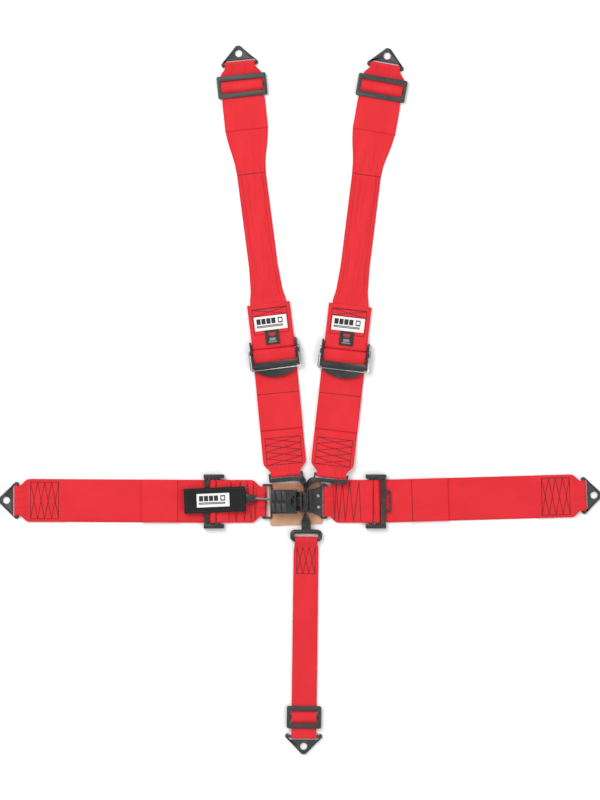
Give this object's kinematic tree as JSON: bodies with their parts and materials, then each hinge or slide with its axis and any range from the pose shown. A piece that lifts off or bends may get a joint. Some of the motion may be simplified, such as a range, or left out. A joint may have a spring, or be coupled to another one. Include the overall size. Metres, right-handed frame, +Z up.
{
  "type": "racing harness",
  "caption": "Latch-and-link racing harness laid flat: shoulder, lap and sub belts in red webbing with black steel hardware and a leather buckle pad.",
  "frame": {"origin": "on the ground, under the middle of the buckle's stack of fittings, on the leather pad's underside", "axes": "+X towards the link side's lap anchor, +Y towards the shoulder anchors, +Z up from the surface it lies on"},
  "size_m": [1.0733, 1.2606, 0.0269],
  "materials": {
    "red_webbing": "woven polyester webbing",
    "black_steel": "semi-matt black coating",
    "bright_steel": "bright plated",
    "leather": "tan, smooth grain",
    "black_fabric": "woven tape",
    "label": "woven satin label",
    "grey_cord": "braided cord"
  },
  "bodies": {
    "latch": {"latch_base": "black_steel", "lever_pin": "bright_steel", "lever_spring": "bright_steel"},
    "lever": {"latch_lever": "black_steel"},
    "release_tab": {"release_tab": "black_fabric", "release_tab_label": "label", "lanyard_crimp": "black_fabric", "lanyard_cord": "grey_cord"},
    "link": {"link_plate": "black_steel", "leather_pad": "leather", "pad_rivet_upper": "bright_steel", "pad_rivet_lower": "bright_steel"},
    "left_shoulder_tip": {"left_shoulder_tip": "black_steel"},
    "left_shoulder_lower": {"left_shoulder_lower_web": "red_webbing", "left_shoulder_lock_bar": "black_steel"},
    "left_shoulder_adjuster": {"left_shoulder_adjuster": "black_steel"},
    "left_shoulder_bail": {"left_shoulder_wire_bail": "bright_steel"},
    "left_shoulder_upper": {"left_shoulder_patch": "red_webbing", "left_shoulder_upper_web": "red_webbing", "left_shoulder_slide": "black_steel", "left_shoulder_label": "label", "left_shoulder_hang_tag": "black_fabric"},
    "left_shoulder_anchor": {"left_shoulder_anchor": "black_steel"},
    "left_lap_short": {"left_lap_short_web": "red_webbing"},
    "left_lap_adjuster": {"left_lap_adjuster": "black_steel"},
    "left_lap_long": {"left_lap_long_web": "red_webbing", "left_lap_lock_bar": "black_steel"},
    "left_lap_anchor": {"left_lap_anchor": "black_steel"},
    "right_shoulder_tip": {"right_shoulder_tip": "black_steel"},
    "right_shoulder_lower": {"right_shoulder_lower_web": "red_webbing", "right_shoulder_lock_bar": "black_steel"},
    "right_shoulder_adjuster": {"right_shoulder_adjuster": "black_steel"},
    "right_shoulder_bail": {"right_shoulder_wire_bail": "bright_steel"},
    "right_shoulder_upper": {"right_shoulder_patch": "red_webbing", "right_shoulder_upper_web": "red_webbing", "right_shoulder_slide": "black_steel", "right_shoulder_label": "label", "right_shoulder_hang_tag": "black_fabric"},
    "right_shoulder_anchor": {"right_shoulder_anchor": "black_steel"},
    "right_lap_short": {"right_lap_short_web": "red_webbing"},
    "right_lap_adjuster": {"right_lap_adjuster": "black_steel"},
    "right_lap_long": {"right_lap_long_web": "red_webbing", "right_lap_lock_bar": "black_steel"},
    "right_lap_anchor": {"right_lap_anchor": "black_steel"},
    "sub_tee": {"sub_tee": "black_steel"},
    "sub_web": {"sub_web": "red_webbing", "sub_slide": "black_steel"},
    "sub_anchor": {"sub_anchor": "black_steel"}
  },
  "joints": [
    {"name": "link_slide", "type": "slide", "parent": "latch", "child": "link", "axis": [1, 0, 0], "range_m": [0, 0.012]},
    {"name": "lever_hinge", "type": "hinge", "parent": "latch", "child": "lever", "pos_m": [-0.02, 0, 0.0185], "axis": [0, 1, 0], "range_deg": [0, 90], "stiffness_Nm_per_rad": 0.05},
    {"name": "release_tab_hinge", "type": "hinge", "parent": "lever", "child": "release_tab", "pos_m": [-0.0655, 0.004, 0.015], "axis": [0, 1, 0], "range_deg": [0, 75]},
    {"name": "left_shoulder_tip_swivel", "type": "hinge", "parent": "link", "child": "left_shoulder_tip", "pos_m": [0, 0, 0.0145], "axis": [1, 0, 0], "range_deg": [0, 15]},
    {"name": "left_shoulder_lower_hinge", "type": "hinge", "parent": "left_shoulder_tip", "child": "left_shoulder_lower", "pos_m": [-0.036, 0.0484, 0.0053], "axis": [0.9956, 0.0941, 0], "range_deg": [-35, 30]},
    {"name": "left_shoulder_adjuster_tilt", "type": "hinge", "parent": "left_shoulder_lower", "child": "left_shoulder_adjuster", "pos_m": [-0.05661, 0.26643, 0.0058], "axis": [-0.9956, -0.0941, 0], "range_deg": [0, 30]},
    {"name": "left_shoulder_bail_hinge", "type": "hinge", "parent": "left_shoulder_adjuster", "child": "left_shoulder_bail", "pos_m": [-0.05758, 0.27437, 0.012], "axis": [-0.9925, -0.1219, 0], "range_deg": [0, 90]},
    {"name": "left_shoulder_upper_hinge", "type": "hinge", "parent": "left_shoulder_adjuster", "child": "left_shoulder_upper", "pos_m": [-0.05797, 0.27754, 0.0043], "axis": [0.9925, 0.1219, 0], "range_deg": [-35, 45]},
    {"name": "left_shoulder_anchor_hinge", "type": "hinge", "parent": "left_shoulder_upper", "child": "left_shoulder_anchor", "pos_m": [-0.11801, 0.77893, 0.0043], "axis": [0.9945, 0.1045, 0], "range_deg": [-35, 45]},
    {"name": "left_lap_short_hinge", "type": "hinge", "parent": "latch", "child": "left_lap_short", "pos_m": [-0.0745, 0, 0.0049], "axis": [0, 1, 0], "range_deg": [-35, 0]},
    {"name": "left_lap_adjuster_hinge", "type": "hinge", "parent": "left_lap_short", "child": "left_lap_adjuster", "pos_m": [-0.1545, 0, 0.0043], "axis": [0, 1, 0], "range_deg": [-15, 0]},
    {"name": "left_lap_long_hinge", "type": "hinge", "parent": "left_lap_adjuster", "child": "left_lap_long", "pos_m": [-0.1652, 0, 0.0053], "axis": [0.0052, 1, 0], "range_deg": [-30, 0]},
    {"name": "left_lap_anchor_hinge", "type": "hinge", "parent": "left_lap_long", "child": "left_lap_anchor", "pos_m": [-0.51499, 0.00183, 0.0043], "axis": [0.0052, 1, 0], "range_deg": [-35, 45]},
    {"name": "right_shoulder_tip_swivel", "type": "hinge", "parent": "link", "child": "right_shoulder_tip", "pos_m": [0, 0, 0.0145], "axis": [1, 0, 0], "range_deg": [0, 15]},
    {"name": "right_shoulder_lower_hinge", "type": "hinge", "parent": "right_shoulder_tip", "child": "right_shoulder_lower", "pos_m": [0.0445, 0.046, 0.0123], "axis": [0.9938, -0.1115, 0], "range_deg": [-35, 30]},
    {"name": "right_shoulder_adjuster_tilt", "type": "hinge", "parent": "right_shoulder_lower", "child": "right_shoulder_adjuster", "pos_m": [0.06891, 0.26364, 0.0058], "axis": [-0.9938, 0.1115, 0], "range_deg": [0, 30]},
    {"name": "right_shoulder_bail_hinge", "type": "hinge", "parent": "right_shoulder_adjuster", "child": "right_shoulder_bail", "pos_m": [0.06983, 0.27158, 0.012], "axis": [-0.9934, 0.1149, 0], "range_deg": [0, 90]},
    {"name": "right_shoulder_upper_hinge", "type": "hinge", "parent": "right_shoulder_adjuster", "child": "right_shoulder_upper", "pos_m": [0.0702, 0.27476, 0.0043], "axis": [0.9934, -0.1149, 0], "range_deg": [-35, 45]},
    {"name": "right_shoulder_anchor_hinge", "type": "hinge", "parent": "right_shoulder_upper", "child": "right_shoulder_anchor", "pos_m": [0.14123, 0.77458, 0.0043], "axis": [0.9848, -0.1736, 0], "range_deg": [-35, 45]},
    {"name": "right_lap_short_hinge", "type": "hinge", "parent": "link", "child": "right_lap_short", "pos_m": [0.035, 0, 0.0049], "axis": [0, -1, 0], "range_deg": [-35, 0]},
    {"name": "right_lap_adjuster_hinge", "type": "hinge", "parent": "right_lap_short", "child": "right_lap_adjuster", "pos_m": [0.115, 0, 0.0043], "axis": [0, -1, 0], "range_deg": [-15, 0]},
    {"name": "right_lap_long_hinge", "type": "hinge", "parent": "right_lap_adjuster", "child": "right_lap_long", "pos_m": [0.1257, 0, 0.0053], "axis": [0.0279, -0.9996, 0], "range_deg": [-30, 0]},
    {"name": "right_lap_anchor_hinge", "type": "hinge", "parent": "right_lap_long", "child": "right_lap_anchor", "pos_m": [0.49436, 0.0103, 0.0043], "axis": [0.0279, -0.9996, 0], "range_deg": [-35, 45]},
    {"name": "sub_tee_swivel", "type": "hinge", "parent": "link", "child": "sub_tee", "pos_m": [0, 0, 0.0145], "axis": [-1, 0, 0], "range_deg": [0, 15]},
    {"name": "sub_web_hinge", "type": "hinge", "parent": "sub_tee", "child": "sub_web", "pos_m": [0.0003, -0.0678, 0.0057], "axis": [-1, 0, 0], "range_deg": [-35, 30]},
    {"name": "sub_anchor_hinge", "type": "hinge", "parent": "sub_web", "child": "sub_anchor", "pos_m": [-0.00398, -0.41777, 0.0043], "axis": [-0.9999, 0.0122, 0], "range_deg": [-45, 45]}
  ],
  "couplings": [
    {"joint": "lever_hinge", "follows": "link_slide", "rad_per_m": 130.9}
  ]
}
